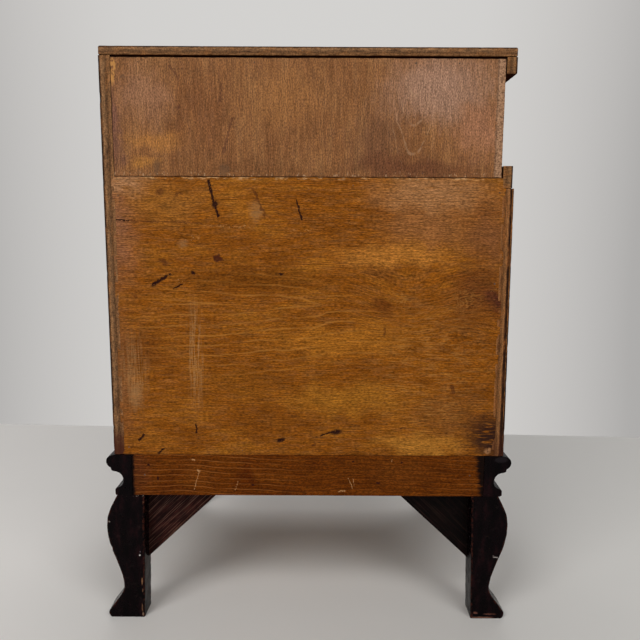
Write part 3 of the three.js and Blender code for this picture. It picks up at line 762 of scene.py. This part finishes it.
def build_case():
    finish = (("old_top_board", "top_board", "X", "Z", "top_stain", 1.0, 0.0),
              ("old_right_side", "right_side_board", "Z", "X", "dark_stain", 0.3, 0.9),
              ("old_left_side", "left_side_board", "Z", "X", "dark_stain", 0.25, 0.5),
              ("old_left_facing", "left_side_facing", "Z", "X", "dark_stain", 0.3, 0.5),
              ("old_left_mid_rail", "left_mid_rail", "Y", "X", "dark_stain", 0.3, 0.0),
              ("old_left_top_rail", "left_top_rail", "Y", "X", "dark_stain", 0.35, 0.0),
              ("old_left_front_post", "left_front_post", "Z", "X", "dark_stain", 0.3, 0.0))

    def lean_out(point):
        """The left side stands out a little more towards its foot."""
        share = (JOINT - point.z) / (JOINT - BASE_TOP) * (-point.x - NOMINAL + 6) / 6
        point.x -= 0.9 * min(max(share, 0), 1)
        return point

    for seed, (name, node, grain, thickness, slot, radius, soaked) in enumerate(finish, 61):
        low, high = low_high(node)
        inner, outer = low["XYZ".index(thickness)], high["XYZ".index(thickness)]
        if outer < 0:
            inner, outer = outer, inner
        made = old_board(node, name, radius=radius, seed=seed, slot=slot, dents=0.5,
                         cut=lean_out if node in ("left_side_board", "left_side_facing") else None)
        tint = (1.08, 0.88, 0.62) if outer < 0 else (1.0, 0.95, 0.86)
        if "rail" in node:
            tint = (0.92, 0.84, 0.68)
        dress(made, stained(name, grain, thickness, inner, outer, seed, soaked, tint))

    def uneven_top(point):
        """The upper panel stops a little short of the top board, by an amount that varies."""
        if point.z > 335:
            point.z -= 0.45 + 0.35 * abs(noise.noise(Vector((point.x / 40, 0, 3))))
        return point

    upper = old_board("upper_back_panel", "old_upper_back", radius=0.3, seed=1, cut=uneven_top,
                      slot="upper_back_wood", wobble=0.08, dents=0.5)
    dress(upper, upper_back_material())
    lower = old_board("lower_back_panel", "old_lower_back", radius=0.3, seed=2, slot="lower_back_wood",
                      wobble=0.08, dents=0.55)
    dress(lower, lower_back_material())
    rail = old_board("base_back_rail", "old_back_rail", radius=0.4, seed=3, slot="lower_back_wood",
                     wobble=0.06, dents=0.4)
    dress(rail, back_rail_material())


# ---------------------------------------------------------------- moulded base

def moulding_profile():
    """(u, z, edge) round the moulding, u out from the nominal side face."""
    inset, top, bottom = -9.7, BASE_TOP, BASE_BOTTOM
    path = [(inset, bottom, 0.6), (-4, bottom, 0), (0.4, bottom, 0.8), (1.0, bottom + 0.6, 1),
            (1.0, 82.8, 0.3), (1.0, 84.6, 0.9), (0.3, 85.5, 1)]
    path += [(u, z, 0.05) for u, z in bezier((0.3, 85.5), (-2.7, 86.1), (-4.1, 87.8), (-4.1, 90.2), 6)]
    path += [(u, z, 0.05) for u, z in bezier((-4.1, 90.2), (-4.1, 93.6), (-2.0, 95.9), (1.4, 96.2), 7)]
    path += [(1.7, 96.25, 0.9), (2.7, 96.6, 0.8), (3.1, 97.0, 0.9)]
    bead, radius = (1.9, 102.3), 4.1
    for k in range(15):
        angle = math.radians(-68 + 158 * k / 14)
        path.append((bead[0] + radius * math.cos(angle), bead[1] + radius * math.sin(angle),
                     0.75 if 4 <= k <= 8 else 0.25))
    path += [(0.7, top, 0.5), (-4, top, 0), (inset, top, 0.4)]
    return path


def build_moulding():
    profile = moulding_profile()
    edges = [edge for _, _, edge in profile]

    def wobble(point, seed):
        broad = noise.noise(point / 9 + Vector((seed, 0, 0)))
        return 0.10 * broad + 0.05 * noise.noise(point / 2.2) - 0.08

    def shows(u, z):
        """Whether a point is on the carved side, clear of the flat top, foot and inside."""
        return u > -9 and 81.2 < z < 106.6

    def stations(length, step=3.0):
        count = round(length / step)
        near_ends = [0, 0.25, 0.8]
        inner = [0.8 + (length - 1.6) * k / count for k in range(1, count)]
        return near_ends + inner + [length - s for s in reversed(near_ends)]

    gap = 0.1
    for hand, side in HANDS:
        length = BACK - FRONT - gap

        def outline(i, s, side=side, length=length):
            u, z = profile[i][:2]
            point = Vector((side * (NOMINAL + u), BACK - s - u * max(0, 2 * s / length - 1), z))
            if shows(u, z):
                worn_end = 0.22 if s < 0.1 else 0.0
                stands_out = 0.8 if side < 0 else 0.0
                point.x += side * (wobble(point, side) - worn_end + stands_out)
            return point

        made = swept(f"turned_{hand}_moulding", outline, stations(length), edges, slot="black_paint",
                     replaces=[f"{hand}_base_moulding"])
        # Painted highlight: a pale blue-grey spot on the top bead, at the rear end of the moulding on the
        # -X side.
        painted_highlight = [(side * 118, 104.5, 5, 2.2, (26, 21, 24))] if side < 0 else []
        dress(made, black_paint(f"black_{hand}_moulding", painted_highlight, seed=7 + side))

    half = NOMINAL - gap

    def front_outline(i, s):
        u, z = profile[i][:2]
        share = (s - half) / half
        point = Vector((share * (half + u), FRONT - u, z))
        if shows(u, z):
            point.y -= wobble(point, 4)
        return point

    made = swept("turned_front_moulding", front_outline, stations(2 * half), edges, slot="black_paint",
                 replaces=["front_base_moulding"])
    dress(made, black_paint("black_front_moulding", seed=12))


# ---------------------------------------------------------------- legs

def leg_edge():
    """(u, z) down the outer edge of a leg, u out from the nominal side face."""
    top = BASE_BOTTOM - 0.1
    path = bezier((0, top), (3.1, 74.5), (6.6, 69.5), (6.6, 61.5), 16, first=True)
    path += bezier((6.6, 61.5), (6.6, 44), (-3.3, 34), (-3.3, 20), 24)
    path += bezier((-3.3, 20), (-3.3, 16.5), (1.5, 11), (6.4, 4.2), 12)
    path += bezier((6.4, 4.2), (7.0, 3.0), (6.77, 1.47), (5.7, 0.35), 4)
    return path + [(5.2, 0.0)]


BARE, CHALK = (140, 100, 70), (190, 184, 180)
LEG_CHIPS = {
    "right": [(104.9, 41.6, 0.65, 0.65, CHALK), (104.6, 43.8, 0.5, 0.5, (90, 84, 90)),
              (104.0, 24.0, 0.45, 3.0, BARE), (103.8, 18, 0.4, 1.6, (100, 70, 52)),
              (104.4, 6.5, 0.5, 3.6, (104, 72, 52)), (104.0, 2.0, 0.6, 1.4, (120, 96, 80)),
              (123.0, 63.5, 0.5, 0.7, (120, 110, 104)), (121.2, 43.0, 0.4, 0.5, (140, 130, 124))],
    "left": [(-110, 0.7, 9, 0.5, (120, 84, 70)), (-117.2, 41.2, 2.0, 0.4, (150, 142, 138)),
             (-115.8, 42.0, 0.8, 0.3, (130, 120, 116)), (-106, 3.8, 1.8, 0.9, (96, 60, 50)),
             (-115, 3.0, 5, 0.5, (90, 56, 46))]}


def build_legs():
    edge_path = leg_edge()
    thick, corner = 16.1, 0.9
    inner_rear, inner_front = (100.7, 102.9), (96.0, 94.3)
    splay = 1.7  # one rear leg was cut wider than the others towards its foot
    top = BASE_BOTTOM - 0.1

    def ring(low_x, high_x, low_y, high_y, z):
        """A rectangle with rounded corners at one height: (point, edge) pairs."""
        found = []
        corners = ((high_x, high_y, 0), (low_x, high_y, 90), (low_x, low_y, 180), (high_x, low_y, 270))
        for number, (x, y, start) in enumerate(corners):
            centre = (x - math.copysign(corner, math.cos(math.radians(start + 45))),
                      y - math.copysign(corner, math.sin(math.radians(start + 45))))
            for k in range(5):
                angle = math.radians(start + 22.5 * k)
                found.append((Vector((centre[0] + corner * math.cos(angle),
                                      centre[1] + corner * math.sin(angle), z)), 1.0))
            after = corners[(number + 1) % 4]
            for share in (0.12, 0.3, 0.5, 0.7, 0.88):
                spot = Vector((x + (after[0] - x) * share, y + (after[1] - y) * share, z))
                found.append((spot, 0.25 if share in (0.12, 0.88) else 0.0))
        return found

    for hand, side in HANDS:
        for end, inner in (("rear", inner_rear), ("front", inner_front)):
            rings = []
            for u, z in edge_path:
                inner_x = inner[0] + (inner[1] - inner[0]) * (1 - z / top)
                if (end, side) == ("rear", 1):
                    u += splay * (1 - z / top) ** 0.6
                low_x, high_x = sorted((side * inner_x, side * (NOMINAL + u)))
                if end == "rear":
                    low_y, high_y = BACK - thick, BACK
                else:
                    low_y, high_y = FRONT - u, FRONT + thick
                rings.append(ring(low_x, high_x, low_y, high_y, z))
            edges = [edge for _, edge in rings[0]]

            def outline(i, s, rings=rings, edges=edges):
                point = rings[s][i][0]
                middle = sum((p for p, _ in rings[s]), Vector()) / len(rings[s])
                out = (point - middle).normalized()
                rough = 0.16 * noise.noise(point / 7) + 0.10 * noise.noise(point / 2.4)
                dent = max(noise.noise(point / 2.8 + Vector((9, 0, 0))) - 0.3, 0) * edges[i]
                return point + out * (rough - 0.16 - 0.9 * dent)

            made = swept(f"carved_{end}_{hand}_leg", outline, list(range(len(rings))), edges,
                         slot="black_paint", replaces=[f"{end}_{hand}_leg"])
            chips = LEG_CHIPS[hand] if end == "rear" else ()
            dress(made, black_paint(f"black_{end}_{hand}_leg", chips, seed=20 + 3 * side + len(end),
                                    worn_top=side > 0))


# ---------------------------------------------------------------- small pieces and carried-over boards

def build_nails():
    """Brads that hold the back boards: (x, z, radius)."""
    nails = [
        (-60.1, 335.8, 0.75), (-84.5, 335.8, 0.8), (-104.0, 276.7, 0.7), (-65.4, 275.4, 0.6),
        (30.5, 335.9, 0.6), (96.0, 335.9, 0.6), (-25.6, 268.5, 0.7), (-110.0, 264.8, 0.7),
        (0.0, 266.0, 0.7), (57.0, 268.6, 0.6), (109.8, 262.0, 0.6), (-109.3, 212.1, 0.8),
        (109.6, 190.0, 0.6), (-109.2, 110.9, 0.7), (109.0, 111.5, 0.7), (40.0, 109.8, 0.6),
        (3.7, 342.2, 0.8), (100.0, 94.0, 0.8), (-99.0, 94.5, 0.8)]
    material = nail_material()
    for number, (x, z, radius) in enumerate(nails):
        profile = [(0.0, 0.06), (radius * 0.5, 0.05), (radius * 0.85, 0.0), (radius, -0.06),
                   (radius * 0.98, -0.3), (0.0, -0.32)]
        made = turned(f"brad_{number:02d}", profile, Vector((x, BACK - 0.06, z)), sides=16)
        dress(made, material)


def build_knobs():
    reach = 13.5
    profile = bezier((0.0, -reach), (4, -reach), (6.2, -11.6), (6.2, -9.2), 14, first=True)
    profile += bezier((6.2, -9.2), (6.2, -6.4), (2.7, -6.2), (2.9, -3.6), 14)
    profile += [(3.0, -2.4), (3.5, -1.7), (4.3, -1.45), (4.45, -1.1), (4.45, -0.3), (4.3, -0.12),
                (2.4, -0.1), (2.4, 7.5), (0.0, 7.5)]
    material = black_paint("black_knobs", seed=41, gloss=0.4)
    for drawer in ("bottom", "third", "second", "top"):
        for hand in ("left", "right"):
            node = f"{drawer}_drawer_{hand}_knob"
            low, high = low_high(node)
            centre = Vector(((low.x + high.x) / 2, low.y + reach, (low.z + high.z) / 2))
            made = turned(f"turned_{node}", profile, centre, body=f"{drawer}_drawer", slot="black_paint",
                          replaces=[node])
            dress(made, material)


def ease_edges(obj, width):
    bevel = obj.modifiers.new("eased_edges", "BEVEL")
    bevel.width = width * MM
    bevel.segments = 2
    bevel.limit_method = "ANGLE"
    bevel.harden_normals = False


def dress_carried_nodes():
    """The CAD boards that keep their shape get eased edges and their own timber."""
    inside = {grain: raw_material(f"raw_wood_{grain}", grain, 70 + n) for n, grain in enumerate("XYZ")}
    dark = stained("stained_rails", "X", "Z", 0, HEIGHT, 81)
    braces = {hand: brace_material(f"brace_wood_{hand}", side) for hand, side in HANDS}
    for name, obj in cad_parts.items():
        if obj.hide_render:
            continue
        if name.endswith("_brace"):
            material, width = braces["left" if "left" in name else "right"], 0.5
        elif name.endswith("_drawer_front"):
            material, width = front_material(f"front_{name}", 90 + len(name)), 0.7
        elif name.startswith("front_") or name.endswith("_divider"):
            material, width = dark, 0.3
        elif name.endswith(("_side", "_runner")):
            material, width = inside["Y"], 0.35
        else:
            material, width = inside["X"], 0.35
        dress(obj, material)
        ease_edges(obj, width)


# ---------------------------------------------------------------- floor, light and camera

def build_floor():
    """A pale table top. Its far edge lies behind the chest and isn't quite parallel to it."""
    reach, skew = 3000, 160
    far = BACK - 383
    corners = [(-reach, far + skew, 0), (reach, far - skew, 0), (reach, reach, 0), (-reach, reach, 0)]
    mesh = bpy.data.meshes.new("floor")
    mesh.from_pydata([tuple(Vector(c) * MM) for c in corners], [], [(0, 1, 2, 3)])
    floor = bpy.data.objects.new("floor", mesh)
    bpy.context.scene.collection.objects.link(floor)
    dress(floor, floor_material())


def build_world():
    """Grey studio air: a glow behind the chest, fading to both sides, and a dimmer room opposite."""
    world = bpy.data.worlds.new("studio")
    bpy.context.scene.world = world
    world.use_nodes = True
    air = Graph(world.node_tree, "Generated")
    squeezed = air.vector("ADD", air.vector("MULTIPLY", air.place, (1, 0, 0.22)), (-0.02, 0, -0.04))
    stops = ((0.24, (0.65, 0.64, 0.625)), (0.35, (0.58, 0.565, 0.55)), (0.46, (0.45, 0.44, 0.43)),
             (0.80, (0.16, 0.158, 0.155)))
    glow = air.ramp(air.vector("LENGTH", squeezed), *stops, interpolation="B_SPLINE")
    behind = air.between(air.axis("Y"), -0.1, 0.6, 1.0, 0.35)
    above = air.between(air.axis("Z"), 0.36, 0.7, 1.0, 0.4)
    background = air.node("Background")
    air.feed(background.inputs["Color"], glow)
    air.feed(background.inputs["Strength"], air.times(behind, above))
    air.feed(air.node("OutputWorld").inputs["Surface"], background.outputs[0])


def area_light(name, location, target, size, energy, colour=(1, 1, 1)):
    light = bpy.data.lights.new(name, "AREA")
    light.shape = "SQUARE"
    light.size = size
    light.energy = energy
    light.color = colour
    made = bpy.data.objects.new(name, light)
    made.location = location
    made.rotation_euler = (Vector(target) - Vector(location)).to_track_quat("-Z", "Y").to_euler()
    bpy.context.scene.collection.objects.link(made)


def build_camera():
    """The picture's viewpoint: behind the chest, a little high, looking 8 degrees down."""
    camera = bpy.data.cameras.new("camera")
    camera.lens = 36
    camera.sensor_width = 36
    camera.clip_start = 0.01
    made = bpy.data.objects.new("camera", camera)
    distance, height, aside, pitch, roll = 375, 242.6, -6.9, 7.95, 0.27
    made.location = Vector((aside, BACK + distance, height)) * MM
    look = Euler((math.radians(90 - pitch), 0, math.radians(180))).to_matrix()
    made.rotation_euler = (look @ Matrix.Rotation(math.radians(roll), 3, "Z")).to_euler()
    bpy.context.scene.collection.objects.link(made)
    bpy.context.scene.camera = made


bpy.context.scene.view_settings.view_transform = "Standard"
build_camera()
build_world()
area_light("left_softbox", (0.85, 1.35, 1.45), (0, 0, 0.12), 0.9, 16, (1.0, 0.985, 0.965))
area_light("right_softbox", (-0.75, 1.30, 1.40), (0, 0, 0.12), 0.9, 11, (1.0, 0.985, 0.965))
area_light("far_softbox", (0, -0.62, 1.05), (0, -0.3, 0), 0.5, 3.0, (1.0, 0.99, 0.98))
build_floor()
build_case()
build_moulding()
build_legs()
build_nails()
build_knobs()
dress_carried_nodes()
